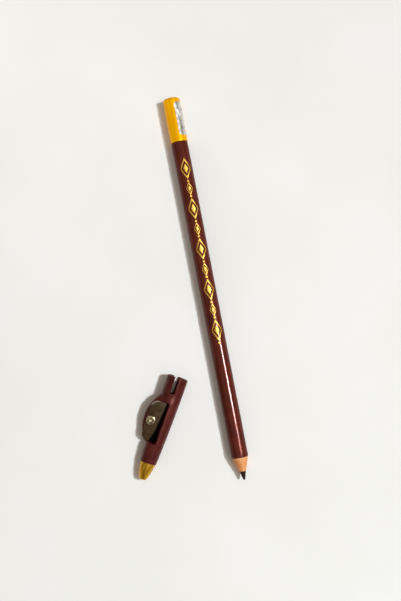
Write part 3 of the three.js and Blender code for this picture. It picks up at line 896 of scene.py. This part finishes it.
seat_rise = tan(bore_slope)
window_outline = [
    (-WINDOW_END, seat_height + (SEAT_DEPTH - WINDOW_END) * seat_rise),
    (-WINDOW_START, seat_height + (SEAT_DEPTH - WINDOW_START) * seat_rise),
    (-WINDOW_START, REACH), (-WINDOW_END, REACH)]
window = prism("window", window_outline, -REACH, WINDOW_WALL, across)

chip_top = (SEAT_DEPTH - WINDOW_START) / cos(bore_slope) - CHIP_GAP_TOP
chip_bottom = (SEAT_DEPTH - WINDOW_END) / cos(bore_slope) + CHIP_GAP_BOTTOM
chip_outline = rectangle(CHIP_GAP_LEFT, chip_bottom, WINDOW_WALL, chip_top)
chip_gap = prism("chip_gap", chip_outline, -CHIP_GAP_DEPTH, CLEAR, seat_place)

slit_half = SLIT_WIDTH / 2
slit_outline = [(-slit_half, CLEAR)]
slit_outline += arc(SLIT_CORNER - slit_half, SLIT_CORNER - SLIT_DEPTH, SLIT_CORNER, 180, 270)
slit_outline += arc(slit_half - SLIT_CORNER, SLIT_CORNER - SLIT_DEPTH, SLIT_CORNER, 270, 360)
slit_outline += [(slit_half, CLEAR)]
slit_lean = Matrix.Translation((0, 0, MOUTH_RADIUS)) @ Matrix.Rotation(radians(SLIT_LEAN), 4, "Y")
slit = prism("slit", slit_outline, -REACH, CLEAR, slit_lean)

hole_steps = SCREW_HOLE_SIDES - 1
hole_outline = arc(SCREW_X, SCREW_Y, SCREW_HOLE_RADIUS, 0, 360 * hole_steps / SCREW_HOLE_SIDES, hole_steps)
screw_hole = prism("screw_hole", hole_outline, -REACH, CLEAR, seat_place)

cap_shape = carved(
    turned("tube", tube_profile), ("UNION", fin),
    *[("DIFFERENCE", cut) for cut in (screw_hole, bore, chip_gap, slit, window)])
cap_shape = shaped(
    cap_shape, ("REMESH", {"mode": "VOXEL", "voxel_size": VOXEL}), ("SMOOTH", {"iterations": SOFTEN_STEPS}))


def place_on_cap(tree, place):
    turn = radians(-CAP_TURN)
    mouth = Matrix.Rotation(turn, 3, "Z") @ CAP_MOUTH
    return add_node(
        tree, "ShaderNodeMapping", {"Vector": place, "Rotation": (0, 0, turn), "Location": mouth * -MM})


# Moulded polypropylene: satin, with a fine spark-eroded texture and rubbed, lighter patches.
# Its wall has sunk a little round the closed end of the slit.
moulded_red, tree, shader, place = start_material(
    "moulded_burgundy_plastic",
    {"Metallic": 0.12, "Specular IOR Level": 0.22, "Specular Tint": linear(CAP_GLOSS)})
place = place_on_cap(tree, place)
flow = add_node(tree, "ShaderNodeTexNoise", {"Vector": place, "Scale": 1 / (FLOW_SIZE * MM), "Detail": 4})
red = set_ramp(
    add_node(tree, "ShaderNodeValToRGB", {0: flow}), (0.3, CAP_DEEP), (0.55, CAP_RED), (0.8, CAP_WORN))
rub = add_node(tree, "ShaderNodeMapRange", {"Value": flow, "To Min": 0.36, "To Max": 0.24})
off_sink = add_node(
    tree, "ShaderNodeVectorMath", {0: place, 1: SINK_CENTRE * MM}, output="Value", operation="DISTANCE")
sink = add_node(
    tree, "ShaderNodeMapRange", {"Value": off_sink, "From Max": SINK_RADIUS * MM},
    interpolation_type="SMOOTHSTEP")
sink_bump = add_node(
    tree, "ShaderNodeBump", {"Height": sink, "Strength": 1.0, "Distance": SINK_DEPTH * MM})
sparks = add_node(tree, "ShaderNodeTexNoise", {"Vector": place, "Scale": 1 / (SPARK_SIZE * MM), "Detail": 2})
spark_bump = add_node(
    tree, "ShaderNodeBump",
    {"Height": sparks, "Strength": 0.25, "Distance": SPARK_DEPTH * MM, "Normal": sink_bump})
connect(shader, {"Base Color": red, "Roughness": rub, "Normal": spark_bump})

cap_body = finish_piece("cap_moulding", cap_shape, cap_place, moulded_red, sharp=180)
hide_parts("cap_body")
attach(cap_body, "cap")

# Gold tip
# A thin-walled cup of metallised gold plastic, closed and rounded at its small end.
# It is pressed on the nose of the cap up to the shoulder.
TIP_LENGTH = 7.95
TIP_BASE_RADIUS = 3.42
TIP_SWELL_RADIUS = 2.76
TIP_SWELL_DEPTH = 5.07
TIP_END_RADIUS = 1.9
TIP_FLAT_RADIUS = 0.9
TIP_ROUND = 0.97
TIP_BULGE = 0.3
TIP_EDGE = 0.08
TIP_GAP = 0.05
TIP_WALL = 0.65
TIP_BORE = TIP_BASE_RADIUS - TIP_WALL
TIP_TAPER = (TIP_BASE_RADIUS - TIP_END_RADIUS) / (TIP_LENGTH - TIP_ROUND)
DRAWN_WIDTH = 1.0
DRAWN_LENGTH = 14
DRAWN_SHIFT = 1.6
DRAWN_DEPTH = 0.05
TIP_GOLD = "#E6B036"
TIP_MIDDLE = "#D09A20"
TIP_DEEP = "#A4720F"
tip_base = -SHOULDER_DEPTH - TIP_GAP
tip_end = -SHOULDER_DEPTH - TIP_LENGTH
tip_floor = -NOSE_DEPTH - TIP_GAP
tip_shoulder = (TIP_END_RADIUS, tip_end + TIP_ROUND)
tip_profile = [(0, tip_end)]
tip_profile += curve((TIP_FLAT_RADIUS, tip_end), (TIP_END_RADIUS - TIP_BULGE, tip_end), tip_shoulder)
tip_profile += curve(
    tip_shoulder, (TIP_SWELL_RADIUS, tip_base - TIP_SWELL_DEPTH), (TIP_BASE_RADIUS, tip_base - TIP_EDGE),
    16)[1:]
tip_profile += [(TIP_BASE_RADIUS - TIP_EDGE, tip_base), (TIP_BORE, tip_base)]
tip_profile += [(TIP_BORE - (NOSE_DEPTH - SHOULDER_DEPTH) * TIP_TAPER, tip_floor), (0, tip_floor)]

# Metallised gold plastic: a warm metal with fine drawn streaks along the cap that break up the reflections.
gold_plastic, tree, shader, place = start_material(
    "metallised_gold_plastic", {"Metallic": 0.78, "Roughness": 0.36})
drawn = add_node(
    tree, "ShaderNodeMapping",
    {"Vector": place_on_cap(tree, place), "Location": (DRAWN_SHIFT, 0, 0),
     "Scale": repeats(DRAWN_WIDTH, DRAWN_LENGTH, DRAWN_WIDTH)})
streaks = add_node(tree, "ShaderNodeTexNoise", {"Vector": drawn, "Scale": 1, "Detail": 3})
gold = set_ramp(
    add_node(tree, "ShaderNodeValToRGB", {0: streaks}),
    (0.36, TIP_DEEP), (0.48, TIP_MIDDLE), (0.65, TIP_GOLD))
streak_bump = add_node(
    tree, "ShaderNodeBump", {"Height": streaks, "Strength": 0.3, "Distance": DRAWN_DEPTH * MM})
connect(shader, {"Base Color": gold, "Normal": streak_bump})

gold_tip = finish_piece("gold_tip", turned("gold_tip", tip_profile), cap_place, gold_plastic)
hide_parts("cap_gold_tip")
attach(gold_tip, "cap")

# Sharpener blade
# A stamped plate of spring steel with two rounded corners, ground to a bevel along its right edge.
# One screw clamps it on the seat of the fin.
BLADE_LEFT = -7.0
BLADE_EDGE = -0.45
BLADE_TOP = 9
BLADE_BOTTOM = -9.9
BLADE_CORNER = 3.2
BLADE_THICKNESS = 0.5
BLADE_BEVEL = 0.95
BLADE_EDGE_LAND = 0.04
BLADE_CHAMFER = 0.22
GRIND_REACH = 20
SHARP_CORNER = 50
SEAT_GAP = 0.03
LINE_LENGTH = 5
LINE_SPACING = 0.15
LINE_DEPTH = 0.02
STAIN_SIZE = 2.5
# Painted highlight: where the bare left edges and the upper corner rim are lightened as a glint
GLINT_SIDE_FROM = -3.2
GLINT_SIDE_TO = -4.8
GLINT_RIM_WIDTH = 0.5
GLINT_RIM_FADE = 1.2
# Painted shadow: the black band along the cutting edge stands for the shadow of the window's wall
SHADOW_BAND_EDGE = -1.95
SHADOW_BAND_SOFT = 0.22
SHADOW_BAND_TAPER = 1.2
TAPER_FROM = -26
TAPER_TO = -13
SHADOW_BAND_FLARE = 1.2
FLARE_FROM = -26
FLARE_TO = -31
STEEL_DARK = "#30220F"
STEEL_LIGHT = "#5A452C"
# Colour of the painted glint on the edges and the corner rim
STEEL_GLINT = "#E0D0B8"
# Colour of the painted shadow band
PAINTED_SHADOW = "#060403"


def bevelled(mesh, width, segments):
    limit = {"limit_method": "ANGLE", "angle_limit": radians(SHARP_CORNER)}
    return shaped(mesh, ("BEVEL", {"width": width, "segments": segments, **limit}))


blade_outline = [(BLADE_EDGE, BLADE_BOTTOM), (BLADE_EDGE, BLADE_TOP)]
blade_outline += arc(BLADE_LEFT + BLADE_CORNER, BLADE_TOP - BLADE_CORNER, BLADE_CORNER, 90, 180, 16)
blade_outline += arc(BLADE_LEFT + BLADE_CORNER, BLADE_BOTTOM + BLADE_CORNER, BLADE_CORNER, 180, 270, 16)
plate = prism("plate", blade_outline, SEAT_GAP, SEAT_GAP + BLADE_THICKNESS)
bevel_place = Matrix.Translation((BLADE_EDGE, 0, SEAT_GAP + BLADE_EDGE_LAND))
bevel_place = bevel_place @ Matrix.Rotation(atan2(BLADE_THICKNESS, BLADE_BEVEL), 4, "Y")
grinding = prism("grinding", rectangle(-2 * CLEAR, -GRIND_REACH, CLEAR, GRIND_REACH), 0, CLEAR, bevel_place)
blade_hole = prism("blade_hole", hole_outline, -CLEAR, 2 * CLEAR)
blade_shape = bevelled(
    carved(plate, ("DIFFERENCE", grinding), ("DIFFERENCE", blade_hole)), BLADE_CHAMFER, segments=3)

# Hardened spring steel, oil-blacked: dark brown-grey, with fine grinding lines across the blade.
# Its left edges are rubbed bare and painted lighter as a glint; a painted highlight rims its upper corner.
# A black band of painted shadow, for the shade of the window's wall, lies along the cutting edge;
# it narrows upwards and flares at its lower end.
spring_steel, tree, shader, place = start_material("oil_blacked_spring_steel", {})
normal = place.node.outputs["Normal"]
place = place_on_cap(tree, place)
spot = add_node(tree, "ShaderNodeSeparateXYZ", {0: place}).node.outputs
ground = add_node(
    tree, "ShaderNodeMapping", {"Vector": place, "Scale": repeats(LINE_LENGTH, LINE_SPACING, LINE_LENGTH)})
lines = add_node(tree, "ShaderNodeTexNoise", {"Vector": ground, "Scale": 1, "Detail": 3})
stain = add_node(tree, "ShaderNodeTexNoise", {"Vector": place, "Scale": 1 / (STAIN_SIZE * MM), "Detail": 4})
both = add_node(tree, "ShaderNodeMath", {0: lines, 1: stain}, operation="MULTIPLY")
steel = set_ramp(add_node(tree, "ShaderNodeValToRGB", {0: both}), (0.12, STEEL_DARK), (0.4, STEEL_LIGHT))
seat_normal = ((cap_place @ seat_place).to_3x3() @ UPWARDS).normalized()
# Painted highlight: the chamfered edges on the left side are lightened as a glint, as well as worn bare
facing = add_node(
    tree, "ShaderNodeVectorMath", {0: normal, 1: seat_normal}, output="Value", operation="DOT_PRODUCT")
off_face = add_node(
    tree, "ShaderNodeMapRange",
    {"Value": facing, "From Min": 0.8, "From Max": 0.97, "To Min": 1.0, "To Max": 0.0})
off_wall = add_node(tree, "ShaderNodeMapRange", {"Value": facing, "From Min": 0.15, "From Max": 0.4})
worn_glinting_edge = add_node(tree, "ShaderNodeMath", {0: off_face, 1: off_wall}, operation="MULTIPLY")
on_left_side = add_node(
    tree, "ShaderNodeMapRange", {"Value": spot["X"], "From Min": GLINT_SIDE_FROM * MM, "From Max": GLINT_SIDE_TO * MM})
# Painted highlight: a lighter rim on the flat top round the upper corner, standing in for its glint
corner_on_seat = Vector((BLADE_LEFT + BLADE_CORNER, BLADE_TOP - BLADE_CORNER, BLADE_THICKNESS))
corner = cap_place @ seat_place @ corner_on_seat - CAP_MOUTH * MM
corner = Matrix.Rotation(radians(-CAP_TURN), 3, "Z") @ corner
off_corner = add_node(
    tree, "ShaderNodeVectorMath", {0: place, 1: corner}, output="Value", operation="DISTANCE")
rim = add_node(
    tree, "ShaderNodeMapRange",
    {"Value": off_corner, "From Min": (BLADE_CORNER - GLINT_RIM_WIDTH) * MM,
     "From Max": (BLADE_CORNER - GLINT_RIM_WIDTH / 2) * MM, "To Max": 0.4})
at_top = add_node(
    tree, "ShaderNodeMapRange",
    {"Value": spot["Y"], "From Min": corner.y, "From Max": corner.y + GLINT_RIM_FADE * MM})
painted_top_glint = add_node(tree, "ShaderNodeMath", {0: rim, 1: at_top}, operation="MULTIPLY")
wear_and_glint = add_node(tree, "ShaderNodeMath", {0: worn_glinting_edge, 1: painted_top_glint}, operation="MAXIMUM")
left_wear_and_glint = add_node(tree, "ShaderNodeMath", {0: wear_and_glint, 1: on_left_side}, operation="MULTIPLY")
glinted_steel = add_node(
    tree, "ShaderNodeMix", {0: left_wear_and_glint, 6: steel, 7: linear(STEEL_GLINT)}, output=2, data_type="RGBA")
# Painted shadow: a black band along the cutting edge, for the shade of the window's wall; there the steel
# loses its shine
flare, taper = [
    add_node(
        tree, "ShaderNodeMapRange",
        {"Value": spot["Y"], "From Min": start * MM, "From Max": end * MM, "To Max": width * MM})
    for start, end, width in (
        (FLARE_FROM, FLARE_TO, SHADOW_BAND_FLARE), (TAPER_FROM, TAPER_TO, SHADOW_BAND_TAPER))]
band = add_node(tree, "ShaderNodeMath", {0: flare, 1: taper}, operation="SUBTRACT")
past_edge = add_node(tree, "ShaderNodeMath", {0: spot["X"], 1: band}, operation="ADD")
wall_shadow = add_node(
    tree, "ShaderNodeMapRange",
    {"Value": past_edge, "From Min": (SHADOW_BAND_EDGE - SHADOW_BAND_SOFT) * MM,
     "From Max": (SHADOW_BAND_EDGE + SHADOW_BAND_SOFT) * MM})
shadowed_steel = add_node(
    tree, "ShaderNodeMix", {0: wall_shadow, 6: glinted_steel, 7: linear(PAINTED_SHADOW)}, output=2, data_type="RGBA")
metal = add_node(tree, "ShaderNodeMapRange", {"Value": wall_shadow, "To Min": 0.3, "To Max": 0.0})
shine = add_node(tree, "ShaderNodeMapRange", {"Value": wall_shadow, "To Min": 0.25, "To Max": 0.02})
gloss = add_node(tree, "ShaderNodeMapRange", {"Value": stain, "To Min": 0.3, "To Max": 0.5})
line_bump = add_node(tree, "ShaderNodeBump", {"Height": lines, "Strength": 0.2, "Distance": LINE_DEPTH * MM})
connect(shader, {
    "Base Color": shadowed_steel, "Metallic": metal, "Specular IOR Level": shine, "Roughness": gloss,
    "Normal": line_bump})

blade = finish_piece("blade", blade_shape, cap_place @ seat_place, spring_steel)
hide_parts("sharpener_blade")
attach(blade, "cap")

# Blade screw
# A small nickel-plated pan-head screw with a cross recess.
# Its shank goes through the blade into the fin.
HEAD_RADIUS = 2.1
HEAD_HEIGHT = 0.95
HEAD_RIM = 0.35
HEAD_CHAMFER = 0.06
SHANK_RADIUS = 0.85
SHANK_LENGTH = 3.6
SHANK_POINT = 0.6
SHANK_END_RADIUS = 0.51
SCREW_SEGMENTS = 64
CROSS_LENGTH = 2.6
CROSS_WIDTH = 0.6
CROSS_DEPTH = 0.5
CROSS_TURN = 24
PIT_RADIUS = 1.05
PIT_FLOOR = 0.5
PIT_DEPTH = 0.3
RECESS_ROUND = 0.05
SUNK_BY = 0.08
# Painted shade: how far out from the axis the recess walls are coloured dark
RECESS_SHADE_TO = 1.5
TUMBLE_SIZE = 0.3
TUMBLE_DEPTH = 0.03
NICKEL = "#E2D6B0"
NICKEL_DULL = "#B4A478"
RECESS_SHADE = "#2A2418"
head_under = BLADE_THICKNESS + 2 * SEAT_GAP
head_top = head_under + HEAD_HEIGHT
screw_profile = [(0, -SHANK_LENGTH), (SHANK_END_RADIUS, -SHANK_LENGTH)]
screw_profile += [(SHANK_RADIUS, SHANK_POINT - SHANK_LENGTH), (SHANK_RADIUS, head_under)]
screw_profile += [(HEAD_RADIUS - HEAD_CHAMFER, head_under), (HEAD_RADIUS, head_under + HEAD_CHAMFER)]
screw_profile += curve((HEAD_RADIUS, head_under + HEAD_RIM), (HEAD_RADIUS, head_top), (0, head_top), 12)
pin = turned("pin", screw_profile, segments=SCREW_SEGMENTS)
pin.transform(upright)
pit_top = head_top - CROSS_DEPTH
arm_outline = rectangle(-CROSS_LENGTH / 2, -CROSS_WIDTH / 2, CROSS_LENGTH / 2, CROSS_WIDTH / 2)
cross_arms = [
    prism("cross_arm", arm_outline, pit_top, head_top + CLEAR, Matrix.Rotation(radians(turn), 4, "Z"))
    for turn in (CROSS_TURN, CROSS_TURN + 90)]
pit_profile = [(0, pit_top - PIT_DEPTH), (PIT_FLOOR, pit_top - PIT_DEPTH), (PIT_RADIUS, pit_top)]
pit_profile += [(PIT_RADIUS, head_top + CLEAR), (0, head_top + CLEAR)]
pit = turned("pit", pit_profile)
pit.transform(upright)
screw_shape = bevelled(
    carved(pin, *[("DIFFERENCE", cut) for cut in (*cross_arms, pit)]), RECESS_ROUND, segments=2)

# The walls of the recess are painted dark as shade, but not its floor, which the driver has scuffed.
recess_shade_share = screw_shape.attributes.new("recess_shade", "FLOAT", "POINT")
scuff_share = screw_shape.attributes.new("scuff", "FLOAT", "POINT")
for vertex, in_shade, scuffed in zip(screw_shape.vertices, recess_shade_share.data, scuff_share.data):
    off_axis = vertex.co.xy.length
    dome = 1 - sqrt(max(0, 1 - off_axis / HEAD_RADIUS))
    sunk = vertex.co.z < head_top - (HEAD_HEIGHT - HEAD_RIM) * dome ** 2 - SUNK_BY
    on_floor = sunk and off_axis < PIT_FLOOR + SUNK_BY
    scuffed.value = 1.0 if on_floor else 0.0
    in_shade.value = 1.0 if sunk and not on_floor and off_axis < RECESS_SHADE_TO else 0.0

# Nickel plating: bright, faintly yellow, with fine tumbling marks.
nickel_plate, tree, shader, place = start_material("nickel_plating", {"Metallic": 1.0})
tumbled = add_node(
    tree, "ShaderNodeTexNoise", {"Vector": place, "Scale": 1 / (TUMBLE_SIZE * MM), "Detail": 3})
plating = set_ramp(
    add_node(tree, "ShaderNodeValToRGB", {0: tumbled}), (0.3, NICKEL_DULL), (0.6, NICKEL))
# Painted shade in the recess
recess_shade = add_node(tree, "ShaderNodeAttribute", output="Fac", attribute_name="recess_shade")
shaded_plating = add_node(tree, "ShaderNodeMix", {0: recess_shade, 6: plating, 7: linear(RECESS_SHADE)}, output=2, data_type="RGBA")
scuff = add_node(tree, "ShaderNodeAttribute", output="Fac", attribute_name="scuff")
matt = add_node(tree, "ShaderNodeMapRange", {"Value": scuff, "To Min": 0.2, "To Max": 0.5})
tumble_bump = add_node(
    tree, "ShaderNodeBump", {"Height": tumbled, "Strength": 0.15, "Distance": TUMBLE_DEPTH * MM})
connect(shader, {"Base Color": shaded_plating, "Roughness": matt, "Normal": tumble_bump})

screw_place = cap_place @ seat_place @ Matrix.Translation((SCREW_X, SCREW_Y, 0))
screw = finish_piece("screw", screw_shape, screw_place, nickel_plate)
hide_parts("blade_screw")
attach(screw, "screw")
